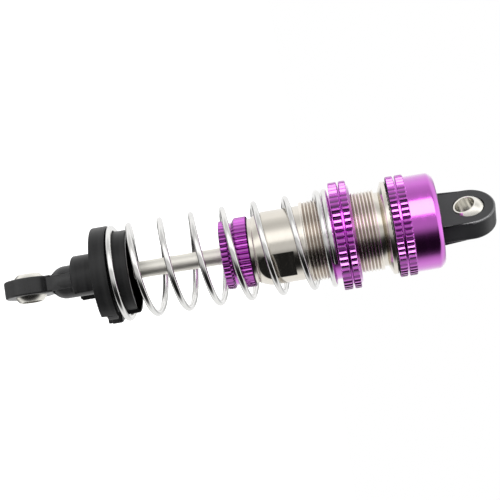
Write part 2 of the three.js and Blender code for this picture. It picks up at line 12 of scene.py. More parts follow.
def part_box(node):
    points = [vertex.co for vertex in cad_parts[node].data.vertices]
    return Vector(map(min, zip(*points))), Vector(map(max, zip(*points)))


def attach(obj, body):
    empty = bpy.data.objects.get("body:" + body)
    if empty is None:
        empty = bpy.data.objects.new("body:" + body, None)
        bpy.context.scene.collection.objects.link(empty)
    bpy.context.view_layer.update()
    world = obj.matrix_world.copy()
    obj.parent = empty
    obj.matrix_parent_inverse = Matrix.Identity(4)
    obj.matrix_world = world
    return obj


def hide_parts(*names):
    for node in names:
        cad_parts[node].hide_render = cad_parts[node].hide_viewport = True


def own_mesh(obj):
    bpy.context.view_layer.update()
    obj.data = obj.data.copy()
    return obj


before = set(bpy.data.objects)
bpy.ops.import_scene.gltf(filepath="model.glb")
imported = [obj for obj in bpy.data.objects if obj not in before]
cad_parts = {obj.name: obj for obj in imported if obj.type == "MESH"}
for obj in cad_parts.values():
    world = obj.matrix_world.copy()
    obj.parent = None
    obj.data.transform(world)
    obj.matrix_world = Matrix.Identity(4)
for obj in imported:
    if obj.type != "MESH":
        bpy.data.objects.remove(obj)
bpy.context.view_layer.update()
MM = 0.001
TAU = 2 * math.pi
scene = bpy.context.scene


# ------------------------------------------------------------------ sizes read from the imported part

def low(node):
    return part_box(node)[0] / MM


def high(node):
    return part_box(node)[1] / MM


CAP_TOP, CAP_BOTTOM = high("top_cap").z, low("top_cap").z
CAP_KNURL = high("top_cap").x
COLLAR_FOOT = low("preload_collar").z
COLLAR_KNURL = high("preload_collar").x
SEAL_TOP, SEAL_BOTTOM = high("seal_cap").z, low("seal_cap").z
SEAL_KNURL = high("seal_cap").x
RETAINER_TOP, RETAINER_BOTTOM = high("spring_retainer").z, low("spring_retainer").z
SHAFT_TOP, SHAFT_BOTTOM = high("shaft").z, low("shaft").z
BODY_TOP, BODY_BOTTOM = high("shock_body").z, low("shock_body").z
LOWER_EYE = (high("lower_pivot_ball").z + low("lower_pivot_ball").z) / 2

# ------------------------------------------------------------------ sizes of the pieces

SEAT_GAP = 0.15  # between faces that bear on each other
EDGE = 0.05  # rounding of a machined edge
FINE_EDGE = 0.03

COLLAR_HUB_LENGTH = 2.2
COLLAR_HUB_RADIUS = 8.7
RETAINER_CUP_DEPTH = 4.05  # above the spring's lower seat
SEAT = COLLAR_FOOT + COLLAR_HUB_LENGTH  # the spring's upper seat, on the collar
PERCH = RETAINER_TOP - RETAINER_CUP_DEPTH  # the spring's lower seat, on the retainer

THREAD_PITCH = 0.7
THREAD_CREST = 8.3
THREAD_ROOT = 8.0
BARREL_RADIUS = 7.65
BARREL_EASE = 2.6  # length of the barrel's rounded lower end
BARREL_EASE_DEPTH = 0.85
NECK_RADIUS = 6.7
NECK_LENGTH = 0.66
SPIGOT_RADIUS = 5.7
SPIGOT_BORE = 2.4
FLANGE_RADIUS = 9.55
FLANGE_THICKNESS = 0.9
FLANGE_CONE = 0.8
THREAD_RELIEF = 0.95
CAP_THREAD_RADIUS = 7.9
BODY_BORE = 6.0
FLANGE_TOP = CAP_BOTTOM - SEAT_GAP
THREAD_TOP = CAP_BOTTOM - SEAT_GAP - FLANGE_THICKNESS - FLANGE_CONE - THREAD_RELIEF
THREAD_BOTTOM = THREAD_TOP - 15.3
BARREL_BOTTOM = THREAD_BOTTOM - 10.25
FLAT_TOP = THREAD_BOTTOM - 2.35
FLAT_DISTANCE = 7.1  # axis to each wrench flat
FLAT_NORMAL = math.radians(-7)

SHAFT_RADIUS = 1.75
CLIP_GROOVE_DEPTH = 0.4
CLIP_GROOVE_BELOW = 0.06  # from the clip's lower face down to the groove's
CLIP_GROOVE_ABOVE = 0.46  # from the clip's lower face up to the groove's top

BALL_RADIUS = 3.75
BALL_HALF_WIDTH = 2.9
BALL_BORE = 2.05
SOCKET_RADIUS = 3.87
UPPER_BALL_TILT = math.radians(16)
LOWER_TURN = math.radians(-46.5)

UPPER_EYE_RADIUS = 5.4
TONGUE_THICKNESS = 4.5
PLUG_RADIUS = 5.8
PLUG_FLANGE_RADIUS = 7.0
PLUG_FLANGE_THICKNESS = 1.6

RETAINER_RADIUS = 10.15
RETAINER_FLANGE = 3.3
RETAINER_CUP_RADIUS = 8.7
RETAINER_CUP_BORE = 7.6
RETAINER_RECESS = 1.4
RETAINER_HUB_RADIUS = 5.1
RETAINER_SLOT_TURN = math.radians(36)
RETAINER_SLOT_REACH = 20  # from the axis, past the rim
POCKET_RADIUS = 3.54  # round the rod end's boss
POCKET_DEPTH = 6.35
SHAFT_SLOT_RADIUS = 1.9

ROD_BOSS_RADIUS = 3.42
ROD_BOSS_HEIGHT = 6.2  # above the retainer's foot
ROD_DOME_DROP = 1.8  # the dome's centre below the retainer's foot
LOWER_EYE_RADIUS = 5.25
LOWER_EYE_THICKNESS = 3.65
ROD_ARM_HALF_WIDTH = 3.1
ROD_ARM_HALF_THICKNESS = 1.6
ROD_ARM_LENGTH = 9.6
ROD_SHAFT_HOLE = 1.81

WIRE_R = 0.63
COIL_R = 9.5
SPRING_FOOT, SPRING_HEAD = PERCH + WIRE_R, SEAT - WIRE_R
SPRING_START_ANGLE = math.radians(-130)
SPRING_FROM, SPRING_TO = -0.4, 8.34  # turns
CLOSED_LOW, CLOSED_HIGH = 0.2, 1.26  # pitch of the end turns
RAMPS = ((0.0, 0.9), (6.95, 7.15))  # turns over which the pitch changes


# ------------------------------------------------------------------ mesh helpers

def linked(name, data):
    """A new object in the scene."""
    obj = bpy.data.objects.new(name, data)
    scene.collection.objects.link(obj)
    return obj


def finish_mesh(name, mesh, body, *nodes, angle=35):
    """Shows a mesh on a body in place of its CAD nodes; edges sharper than angle stay sharp."""
    mesh.set_sharp_from_angle(angle=math.radians(angle))
    obj = linked(name, mesh)
    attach(obj, body)
    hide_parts(*nodes)
    return obj


def shade_smooth(mesh):
    for p in mesh.polygons:
        p.use_smooth = True


def tidy_normals(mesh):
    same_point = 1e-7  # metres
    bm = bmesh.new()
    bm.from_mesh(mesh)
    bmesh.ops.remove_doubles(bm, verts=bm.verts, dist=same_point)
    bmesh.ops.recalc_face_normals(bm, faces=bm.faces)
    bm.to_mesh(mesh)
    bm.free()


def circle(r, z, angles):
    """Points round the axis, in mm."""
    return [(r * math.cos(a), r * math.sin(a), z) for a in angles]


def even_angles(sides):
    return [TAU * k / sides for k in range(sides)]


def band_faces(first, second, count):
    """The faces between two rings of points, given the index at which each ring starts."""
    faces = []
    for k in range(count):
        n = (k + 1) % count
        faces.append((first + k, first + n, second + n, second + k))
    return faces


def grid_mesh(name, rows):
    """A mesh of rings of equal length, each joined to the next and the last to the first."""
    count = len(rows[0])
    verts = [(x * MM, y * MM, z * MM) for row in rows for x, y, z in row]
    faces = []
    for i in range(len(rows)):
        faces += band_faces(i * count, (i + 1) % len(rows) * count, count)
    mesh = bpy.data.meshes.new(name)
    mesh.from_pydata(verts, [], faces)
    mesh.validate()
    tidy_normals(mesh)
    shade_smooth(mesh)
    return mesh


def rounded(profile, steps=3):
    """A closed profile of (r, z, fillet) corners with each corner rounded."""
    shortest = 1e-6
    most_of_side = 0.45
    out = []
    for i, corner in enumerate(profile):
        p = Vector(corner[:2])
        a = Vector(profile[i - 1][:2]) - p
        b = Vector(profile[(i + 1) % len(profile)][:2]) - p
        if corner[2] <= 0 or a.length < shortest or b.length < shortest:
            out.append(p)
            continue
        reach = min(corner[2], a.length * most_of_side, b.length * most_of_side)
        start = p + a.normalized() * reach
        end = p + b.normalized() * reach
        for s in range(steps + 1):
            t = s / steps
            out.append((start * (1 - t) + p * t) * (1 - t) + (p * (1 - t) + end * t) * t)
    return out


def knurled_lathe(name, profile, body, node, bands, teeth, facets, depth):
    """A ring about Z from a closed profile, with V-shaped teeth cut in it.

    bands holds (z from, z to, radius): between those heights, points outside that radius are cut.
    """
    slack = 1e-4
    crest_share = 0.66  # of half a tooth's pitch, over which the flank rises to the crest

    def knurled(r, z, a):
        for start, end, reach in bands:
            if start - slack <= z <= end + slack and r > reach:
                phase = (a * teeth / TAU) % 1
                rise = min(1.0, abs(phase - 0.5) * 2 / crest_share)
                return r - depth * (1 - rise)
        return r

    rows = []
    for p in rounded(profile):
        row = []
        for a in even_angles(teeth * facets):
            r = knurled(p.x, p.y, a)
            row.append((r * math.cos(a), r * math.sin(a), p.y))
        rows.append(row)
    return finish_mesh(name, grid_mesh(name, rows), body, node, angle=28)


def turned_mesh(profile, sides=96):
    """A solid of revolution about Z, closed by a point on the axis at each end of the profile."""
    on_axis = 1e-6
    rings = [circle(r, z, even_angles(sides)) for r, z in profile if r > on_axis]
    verts = [tuple(c * MM for c in point) for ring in rings for point in ring]
    faces = []
    for i in range(len(rings) - 1):
        faces += band_faces(i * sides, (i + 1) * sides, sides)
    for tip_height, ring in ((profile[0][1], 0), (profile[-1][1], len(rings) - 1)):
        tip = len(verts)
        verts.append((0, 0, tip_height * MM))
        faces += [(ring * sides + k, ring * sides + (k + 1) % sides, tip) for k in range(sides)]
    mesh = bpy.data.meshes.new("turned")
    mesh.from_pydata(verts, [], faces)
    tidy_normals(mesh)
    return mesh


def rod_mesh(r, bottom, top):
    """A plain round bar about Z."""
    return turned_mesh([(0, bottom), (r, bottom), (r, top), (0, top)])


def sphere_mesh(r, steps=32):
    angles = [math.pi * (i / steps - 0.5) for i in range(steps + 1)]
    return turned_mesh([(r * math.cos(a), r * math.sin(a)) for a in angles])


def box_mesh(lowest, highest, turn=0.0):
    """A box between two corners, turned about Z."""
    bm = bmesh.new()
    bmesh.ops.create_cube(bm, size=1)
    for v in bm.verts:
        v.co = Vector([b if c > 0 else a for c, a, b in zip(v.co, lowest, highest)]) * MM
    bmesh.ops.rotate(bm, verts=bm.verts, cent=(0, 0, 0), matrix=Matrix.Rotation(turn, 3, "Z"))
    mesh = bpy.data.meshes.new("box")
    bm.to_mesh(mesh)
    bm.free()
    return mesh


def plate_mesh(eye_radius, half_arm, arm_end, thickness, steps=48):
    """A plate across Y: a round eye about the origin with a straight arm to arm_end along Z."""
    side = -1 if arm_end < 0 else 1
    lean = math.asin(min(1.0, half_arm / eye_radius))
    start = side * math.pi / 2 - side * lean
    sweep = -side * (TAU - 2 * lean)
    outline = [(half_arm, arm_end)]
    for i in range(steps + 1):
        a = start + sweep * i / steps
        outline.append((eye_radius * math.cos(a), eye_radius * math.sin(a)))
    outline.append((-half_arm, arm_end))
    count = len(outline)
    verts = [(x * MM, y * MM, z * MM) for y in (-thickness / 2, thickness / 2) for x, z in outline]
    faces = [tuple(range(count)), tuple(reversed(range(count, 2 * count)))]
    faces += band_faces(0, count, count)
    mesh = bpy.data.meshes.new("plate")
    mesh.from_pydata(verts, [], faces)
    tidy_normals(mesh)
    return mesh


def combine(obj, mesh, operation="DIFFERENCE"):
    """Cuts a closed mesh from obj for good, or joins it to obj with UNION."""
    other = linked("other", mesh)
    mod = obj.modifiers.new("cut", "BOOLEAN")
    mod.operation = operation
    mod.solver = "EXACT"
    mod.object = other
    graph = bpy.context.evaluated_depsgraph_get()
    made = bpy.data.meshes.new_from_object(obj.evaluated_get(graph))
    obj.modifiers.clear()
    old = obj.data
    obj.data = made
    bpy.data.meshes.remove(old)
    bpy.data.objects.remove(other)


def clean_cuts(obj):
    """Clears the slivers the cuts leave, so that the edges can be rounded, and shades the faces smooth."""
    bm = bmesh.new()
    bm.from_mesh(obj.data)
    bmesh.ops.remove_doubles(bm, verts=bm.verts, dist=0.02 * MM)
    bmesh.ops.dissolve_limit(bm, angle_limit=math.radians(1.5), verts=bm.verts, edges=bm.edges)
    bm.to_mesh(obj.data)
    bm.free()
    shade_smooth(obj.data)
    obj.data.set_sharp_from_angle(angle=math.radians(35))


def bevel(obj, name, width, segments, limit):
    mod = obj.modifiers.new(name, "BEVEL")
    mod.width = width * MM
    mod.segments = segments
    mod.limit_method = limit
    mod.harden_normals = True
    mod.use_clamp_overlap = False
    return mod


def soften(obj, width):
    """Rounds every sharp edge."""
    mod = bevel(obj, "edges", width, 3, "ANGLE")
    mod.angle_limit = math.radians(35)


def round_outline(obj, edges, width, place=Matrix(), slot=0):
    """Rounds the edges that edges(x, y, z) picks, in mm in the plate's own axes, in one material slot."""
    corner = 0.6  # radians; flatter edges are left
    bm = bmesh.new()
    bm.from_mesh(obj.data)
    layer = bm.edges.layers.float.new("bevel_weight_edge")
    home = place.inverted()
    for e in bm.edges:
        mid = home @ ((e.verts[0].co + e.verts[1].co) / 2) / MM
        if edges(abs(mid.x), abs(mid.y), mid.z) and e.calc_face_angle(0) > corner:
            e[layer] = 1
    bm.to_mesh(obj.data)
    bm.free()
    mod = bevel(obj, "outline", width, 4, "WEIGHT")
    mod.material = slot


# ------------------------------------------------------------------ materials

NOISE_LOW, NOISE_HIGH = 0.3, 0.7  # most of a noise's values lie between these


def new_material(name):
    mat = bpy.data.materials.new(name)
    mat.use_nodes = True
    tree = mat.node_tree
    return mat, tree, tree.nodes["Principled BSDF"]


def feed(tree, socket, value):
    """Links another node's output to a socket, or sets the socket's own value."""
    if isinstance(value, bpy.types.NodeSocket):
        tree.links.new(value, socket)
    else:
        socket.default_value = value


def noise(tree, scale, detail=4.0, stretch=(1, 1, 1)):
    coord = tree.nodes.new("ShaderNodeTexCoord")
    mapping = tree.nodes.new("ShaderNodeMapping")
    mapping.inputs["Scale"].default_value = stretch
    tex = tree.nodes.new("ShaderNodeTexNoise")
    tex.inputs["Scale"].default_value = scale
    tex.inputs["Detail"].default_value = detail
    tex.inputs["Roughness"].default_value = 0.55
    tree.links.new(coord.outputs["Object"], mapping.inputs["Vector"])
    tree.links.new(mapping.outputs["Vector"], tex.inputs["Vector"])
    return tex.outputs["Fac"]


def ranged(tree, value, lo, hi, start=NOISE_LOW, end=NOISE_HIGH, ease="LINEAR"):
    """Takes a value from start..end to lo..hi."""
    node = tree.nodes.new("ShaderNodeMapRange")
    node.interpolation_type = ease
    node.inputs["From Min"].default_value = start
    node.inputs["From Max"].default_value = end
    node.inputs["To Min"].default_value = lo
    node.inputs["To Max"].default_value = hi
    tree.links.new(value, node.inputs["Value"])
    return node.outputs["Result"]


def mixed(tree, factor, first, second, kind="RGBA"):
    """Goes from first to second, each a value or another node's output, as factor goes from 0 to 1."""
    node = tree.nodes.new("ShaderNodeMix")
    node.data_type = kind
    feed(tree, node.inputs["Factor"], factor)
    feed(tree, node.inputs["A"], first)
    feed(tree, node.inputs["B"], second)
    return node.outputs["Result"]


def tinted(tree, value, first, second):
    """Takes a noise's value to a colour between first and second."""
    node = tree.nodes.new("ShaderNodeValToRGB")
    elements = node.color_ramp.elements
    for element, place, colour in zip(elements, (NOISE_LOW, NOISE_HIGH), (first, second)):
        element.position = place
        element.color = (*colour, 1)
    tree.links.new(value, node.inputs["Fac"])
    return node.outputs["Color"]


def bumped(tree, shader, value, strength, distance):
    bump = tree.nodes.new("ShaderNodeBump")
    bump.inputs["Strength"].default_value = strength
    bump.inputs["Distance"].default_value = distance
    tree.links.new(value, bump.inputs["Height"])
    tree.links.new(bump.outputs["Normal"], shader.inputs["Normal"])


def metal(name, dark, light, rough, lines=0.06, coat=0.0, run=(0.02, 0.02, 1.0)):
    """Machined metal: its colour drifts slowly, and fine tool marks, drawn out by run, vary its sheen."""
    mat, tree, shader = new_material(name)
    shader.inputs["Metallic"].default_value = 1.0
    shader.inputs["Coat Weight"].default_value = coat
    shader.inputs["Coat Roughness"].default_value = 0.12
    shader.inputs["Coat IOR"].default_value = 1.9
    drift = noise(tree, 90, detail=3.0)
    tree.links.new(tinted(tree, drift, dark, light), shader.inputs["Base Color"])
    marks = noise(tree, 900, detail=2.0, stretch=run)
    tree.links.new(ranged(tree, marks, *rough), shader.inputs["Roughness"])
    bumped(tree, shader, marks, lines, 0.02 * MM)
    return mat


def shade_grooves(mat, root, crest, groove_shade):
    """Paints shade into a groove: the colour darkens to the given shade colour from the crest's radius down to
    the root's.
    """
    tree = mat.node_tree
    shader = tree.nodes["Principled BSDF"]
    clean = shader.inputs["Base Color"].links[0].from_socket
    coord = tree.nodes.new("ShaderNodeTexCoord")
    flat = tree.nodes.new("ShaderNodeVectorMath")
    flat.operation = "MULTIPLY"
    flat.inputs[1].default_value = (1, 1, 0)
    away = tree.nodes.new("ShaderNodeVectorMath")
    away.operation = "LENGTH"
    tree.links.new(coord.outputs["Object"], flat.inputs[0])
    tree.links.new(flat.outputs[0], away.inputs[0])
    height = ranged(tree, away.outputs["Value"], 0, 1, root * MM, crest * MM)
    # painted shade: darker towards the groove's root
    tree.links.new(mixed(tree, height, (*groove_shade, 1), clean), shader.inputs["Base Color"])
    return mat


def plastic(name, dark, light, rough=(0.34, 0.46), specular=0.5, streaks=0.0):
    """Moulded plastic: a fine grain and slight wear in the sheen; streaks is the share of flow marks."""
    mat, tree, shader = new_material(name)
    shader.inputs["Specular IOR Level"].default_value = specular
    patches = noise(tree, 160)
    if streaks:
        flow = noise(tree, 1400, detail=3.0, stretch=(0.03, 0.03, 1.0))
        patches = mixed(tree, streaks, patches, flow, kind="FLOAT")
    tree.links.new(tinted(tree, patches, dark, light), shader.inputs["Base Color"])
    tree.links.new(ranged(tree, patches, *rough), shader.inputs["Roughness"])
    bumped(tree, shader, noise(tree, 2600, detail=3.0), 0.12, 0.03 * MM)
    return mat


def purple(name):
    return metal(name, (0.52, 0.045, 0.55), (0.60, 0.062, 0.63), rough=(0.15, 0.21), coat=1.0)


# knurled purple with painted shade that darkens the pits between the teeth
def purple_knurl(name, root, crest):
    return shade_grooves(purple(name), root, crest, (0.11, 0.007, 0.13))


PURPLE = purple("anodised_purple")
NICKEL = metal("nickel_plate", (0.72, 0.68, 0.61), (0.80, 0.76, 0.69), rough=(0.12, 0.2))
THREAD = metal("thread_nickel", (0.82, 0.77, 0.70), (0.88, 0.83, 0.76), rough=(0.16, 0.24))
# painted shade in the thread's grooves: the colour darkens from the crests down to the roots
shade_grooves(THREAD, THREAD_ROOT, 8.17, (0.31, 0.25, 0.21))
BALL_METAL = metal("ball_plate", (0.74, 0.72, 0.66), (0.84, 0.82, 0.76),
                   rough=(0.2, 0.28), lines=0.02, run=(0.5, 0.5, 0.5))
WIRE = metal("spring_wire", (0.72, 0.72, 0.71), (0.84, 0.83, 0.81), rough=(0.08, 0.15), lines=0.02)
SHAFT = metal("shaft_steel", (0.88, 0.86, 0.79), (0.95, 0.93, 0.86), rough=(0.44, 0.50))
CLIP = metal("clip_steel", (0.30, 0.29, 0.28), (0.42, 0.41, 0.39), rough=(0.25, 0.4))
BLACK = plastic("black_nylon", (0.008, 0.008, 0.0085), (0.022, 0.022, 0.0225),
                rough=(0.28, 0.42), specular=0.24, streaks=0.6)
ROD_BLACK = plastic("rod_end_nylon", (0.012, 0.012, 0.0125), (0.026, 0.026, 0.027),
                    rough=(0.24, 0.36), specular=0.42, streaks=0.35)
# a lighter, glossier nylon for the eyelet's rounded rim: a painted highlight line along the edge
RIM_HIGHLIGHT_BLACK = plastic("rim_highlight_nylon", (0.06, 0.06, 0.063), (0.10, 0.10, 0.104),
                     rough=(0.2, 0.3), specular=0.9)
GLOSSY_BLACK = plastic("eyelet_nylon", (0.012, 0.0125, 0.0135), (0.019, 0.0195, 0.021),
                       rough=(0.26, 0.34), specular=0.42)
# black rubber for the hidden seals and bladder, also used as painted shade in the cap's skirt recess
RUBBER_AND_SHADE = plastic("seal_rubber_and_painted_shade", (0.012, 0.011, 0.011), (0.03, 0.028, 0.027), rough=(0.55, 0.75))
ACETAL = plastic("white_acetal", (0.72, 0.70, 0.65), (0.82, 0.80, 0.75))


def paint(obj, mat):
    obj.data.materials.clear()
    obj.data.materials.append(mat)


def paint_where(obj, mat, chosen):
    """Gives mat to the faces that chosen(distance from the axis, height) picks, both in metres."""
    obj.data.materials.append(mat)
    for p in obj.data.polygons:
        if chosen(Vector(p.center[:2]).length, p.center.z):
            p.material_index = len(obj.data.materials) - 1


# ------------------------------------------------------------------ knurled rings

def build_cap():
    b, t, k = CAP_BOTTOM, CAP_TOP, CAP_KNURL
    plain = k - 0.5
    groove = plain - 0.35
    roof_hole, bore, skirt_bore, roof = 5.95, 8.05, 9.15, 1.5
    ring_top, ring_foot, knurl_top = b + 1.6, b + 2.0, b + 3.6
    depth = 0.39
    profile = [
        # bore and skirt
        (bore, b, 0), (skirt_bore, b, FINE_EDGE), (skirt_bore, b + 0.1, FINE_EDGE),
        (k - 0.12, b + 0.12, 0.04), (k, b + 0.24, 0.04),
        # lower ring, groove and upper ring
        (k, ring_top - 0.16, EDGE), (k - 0.14, ring_top, EDGE),
        (groove, ring_top + 0.04, EDGE), (groove, ring_foot - 0.04, EDGE),
        (k - 0.14, ring_foot, EDGE), (k, ring_foot + 0.16, EDGE),
        (k, knurl_top - 0.16, EDGE), (k - 0.14, knurl_top, EDGE),
        # plain wall and shoulder
        (plain, knurl_top + 0.08, EDGE), (plain, t - 1.15, 0.35), (plain - 1.0, t, 0.5),
        # roof and its hole
        (roof_hole + 0.15, t, 0.1), (roof_hole, t - 0.15, EDGE),
        (roof_hole, t - roof, 0), (bore, t - roof, 0),
    ]
    bands = [(b + 0.11, ring_top + 0.02, plain - 0.3), (ring_foot - 0.02, knurl_top + 0.02, plain - 0.3)]
    obj = knurled_lathe("cap_turned", profile, "barrel", "top_cap", bands, teeth=56, facets=12, depth=depth)
    paint(obj, PURPLE)
    # painted shade: the skirt's recess faces get the black rubber colour, which draws the dark shadow gap over
    # the body's flange
    recess = (b + 0.13) * MM
    paint_where(obj, RUBBER_AND_SHADE, lambda away, z: z < recess)
    # painted shade in the cap's knurl pits
    paint_where(obj, purple_knurl("cap_knurl", k - depth, k - 0.05),
                lambda away, z: z >= recess and away > (k - 0.4) * MM and z < (b + 3.55) * MM)
    return obj


def build_collar():
    foot, f, k = COLLAR_FOOT, SEAT, COLLAR_KNURL
    bore, hub, groove = 8.42, COLLAR_HUB_RADIUS, k - 1.0
    ring_top, ring_foot, knurl_top, top = f + 1.8, f + 2.2, f + 3.6, f + 4.08
    depth = 0.43
    profile = [
        # hub
        (bore, foot, 0), (hub - 0.15, foot, FINE_EDGE), (hub, foot + 0.15, FINE_EDGE), (hub, f, FINE_EDGE),
        # lower ring, groove and upper ring
        (k - 0.6, f, EDGE), (k - 0.1, f + 0.03, EDGE), (k, f + 0.2, EDGE),
        (k, ring_top - 0.18, EDGE), (k - 0.16, ring_top, EDGE),
        (groove, ring_top + 0.12, EDGE), (groove, ring_foot - 0.12, EDGE),
        (k - 0.16, ring_foot, EDGE), (k, ring_foot + 0.16, EDGE),
        (k, knurl_top - 0.18, EDGE), (k - 0.16, knurl_top, EDGE),
        # shoulder and top
        (k - 0.75, knurl_top + 0.06, EDGE), (k - 1.3, top, 0.15),
        (bore + 0.2, top, 0.1), (bore, top - 0.18, EDGE),
    ]
    bands = [(f, ring_top + 0.02, k - 0.7), (ring_foot - 0.02, knurl_top + 0.02, k - 0.7)]
    obj = knurled_lathe("collar_turned", profile, "collar", "preload_collar", bands,
                        teeth=52, facets=12, depth=depth)
    paint(obj, PURPLE)
    # painted shade in the collar's knurl pits
    paint_where(obj, purple_knurl("collar_knurl", k - depth, k - 0.05),
                lambda away, z: away > (k - 0.44) * MM)
    return obj


def build_seal_cap():
    b, t, k = SEAL_BOTTOM, SEAL_TOP, SEAL_KNURL
    lower, waist = k - 0.2, k - 0.85
    shaft_hole, bore, plate_top = 1.87, 5.82, b + 1.4
    depth = 0.45
    profile = [
        # foot and lower ring
        (shaft_hole, b + 0.15, 0), (2.0, b, FINE_EDGE), (lower - 0.9, b, 0.1), (lower - 0.1, b + 0.1, EDGE),
        (lower, b + 0.25, EDGE), (lower, b + 1.45, EDGE), (lower - 0.2, b + 1.62, EDGE),
        # waist and upper ring
        (waist, b + 1.95, 0.1), (waist, b + 2.75, 0.1), (k - 0.2, b + 3.2, EDGE), (k, b + 3.38, EDGE),
        (k, t - 0.22, EDGE), (k - 0.18, t - 0.03, EDGE),
        # rim and bore
        (6.1, t, EDGE), (bore, t - 0.2, 0), (bore, plate_top, 0), (shaft_hole, plate_top, 0),
    ]
    bands = [(b + 0.05, b + 1.66, k - 0.9), (b + 3.15, t, k - 0.7)]
    obj = knurled_lathe("seal_cap_turned", profile, "barrel", "seal_cap", bands,
                        teeth=42, facets=14, depth=depth)
    paint(obj, PURPLE)
    rim = (t - 0.2) * MM
    # painted shade in the seal cap's knurl pits
    paint_where(obj, purple_knurl("seal_cap_knurl", k - 0.62, k - 0.2),
                lambda away, z: z <= rim and away > (k - 0.66) * MM)
    # painted shade: the rim and top chamfer are dark purple, which draws the shadow gap against the body
    paint_where(obj, metal("seal_cap_rim_painted_shade", (0.08, 0.006, 0.10), (0.11, 0.008, 0.13), rough=(0.25, 0.35)),
                lambda away, z: z > rim)


# ------------------------------------------------------------------ threaded body

def body_profile():
    """The body's outline as (r, z); where r is None the thread sets the radius."""
    ease_steps = 20
    start = 0.06  # height of the ease's first point
    outer = [(SPIGOT_BORE, BODY_BOTTOM), (SPIGOT_RADIUS, BODY_BOTTOM),
             (SPIGOT_RADIUS, BARREL_BOTTOM - NECK_LENGTH), (NECK_RADIUS, BARREL_BOTTOM - NECK_LENGTH),
             (NECK_RADIUS, BARREL_BOTTOM)]
    for i in range(1, ease_steps + 1):
        t = i / ease_steps
        outer.append((BARREL_RADIUS - BARREL_EASE_DEPTH * (1 - t) ** 1.5,
                      BARREL_BOTTOM + start + (BARREL_EASE - start) * t))
    ease_top = BARREL_BOTTOM + BARREL_EASE
    heights = [FLAT_TOP, FLAT_TOP + 0.02]  # a short step where the flats run out
    z = ease_top
    while z < THREAD_BOTTOM - 0.3:
        z += 0.25
        heights.append(z)
    for height in sorted(set(round(h, 4) for h in heights)):
        if ease_top < height < THREAD_BOTTOM - 0.05:
            outer.append((BARREL_RADIUS, height))
    outer.append((BARREL_RADIUS, THREAD_BOTTOM - 0.04))
    length = THREAD_TOP - THREAD_BOTTOM
    steps_per_pitch = 14
    steps = int(round(length / THREAD_PITCH * steps_per_pitch))
    for i in range(steps + 1):
        outer.append((None, THREAD_BOTTOM + length * i / steps))
    relief = BARREL_RADIUS - 0.05
    outer += [(relief, THREAD_TOP + 0.02), (relief, THREAD_TOP + 0.8),
              (BARREL_RADIUS + 0.12, THREAD_TOP + THREAD_RELIEF),
              (FLANGE_RADIUS - 0.13, FLANGE_TOP - 0.98), (FLANGE_RADIUS, FLANGE_TOP - 0.85),
              (FLANGE_RADIUS, FLANGE_TOP - 0.1), (FLANGE_RADIUS - 0.1, FLANGE_TOP),
              (CAP_THREAD_RADIUS, FLANGE_TOP), (CAP_THREAD_RADIUS, BODY_TOP), (BODY_BORE, BODY_TOP),
              (BODY_BORE, BODY_BOTTOM + 7.0), (SPIGOT_BORE, BODY_BOTTOM + 6.4)]
    return outer


def thread_radius(z, a):
    """A right-handed thread with narrow rounded crests, whose groove fades out at both ends."""
    phase = ((z - THREAD_BOTTOM) / THREAD_PITCH - a / TAU) % 1
    wave = 0.5 + 0.5 * math.cos(TAU * phase)
    wave = wave * wave * (3 - 2 * wave) * 0.35 + wave * 0.65
    fade = min(1, (z - THREAD_BOTTOM) / 0.7, (THREAD_TOP - z) / 0.5)
    return THREAD_CREST - (THREAD_CREST - THREAD_ROOT) * (1 - wave) * max(0.0, fade)


def cut_flats(r, z, a):
    """Brings a radius in to the wrench flats."""
    slack = 0.005
    if BARREL_BOTTOM - slack <= z <= FLAT_TOP + slack:
        for side in (0, math.pi):
            off = (a - FLAT_NORMAL - side + math.pi) % TAU - math.pi
            if abs(off) < math.pi / 3:
                r = min(r, FLAT_DISTANCE / math.cos(off))
    return r


def build_body():
    reach = math.acos(FLAT_DISTANCE / BARREL_RADIUS)
    flat_edges = [(FLAT_NORMAL + side + edge) % TAU for side in (0, math.pi) for edge in (-reach, reach)]
    angles = sorted(set(even_angles(180) + flat_edges))
    rows = []
    for r, z in body_profile():
        row = []
        for a in angles:
            radius = cut_flats(thread_radius(z, a) if r is None else r, z, a)
            row.append((radius * math.cos(a), radius * math.sin(a), z))
        rows.append(row)
    obj = finish_mesh("body_turned", grid_mesh("body_turned", rows), "barrel", "shock_body", angle=50)
    paint(obj, NICKEL)
    paint_where(obj, THREAD,
                lambda away, z: away > 7.85 * MM and THREAD_BOTTOM * MM < z < THREAD_TOP * MM)


# ------------------------------------------------------------------ shaft, balls and eyes

def build_shaft():
    r, b, t = SHAFT_RADIUS, SHAFT_BOTTOM, SHAFT_TOP
    tip = 0.02
    root = r - CLIP_GROOVE_DEPTH
    profile = [(tip, b), (r - 0.1, b), (r, b + 0.1)]
    for clip in ("lower_clip", "upper_clip"):
        foot = low(clip).z - CLIP_GROOVE_BELOW
        top = low(clip).z + CLIP_GROOVE_ABOVE
        profile += [(r, foot), (root, foot), (root, top), (r, top)]
    profile += [(r, t - 0.4), (r - 0.4, t), (tip, t)]
    mesh = turned_mesh(profile)
    shade_smooth(mesh)
    obj = finish_mesh("shaft_ground", mesh, "rod", "shaft")
    paint(obj, SHAFT)


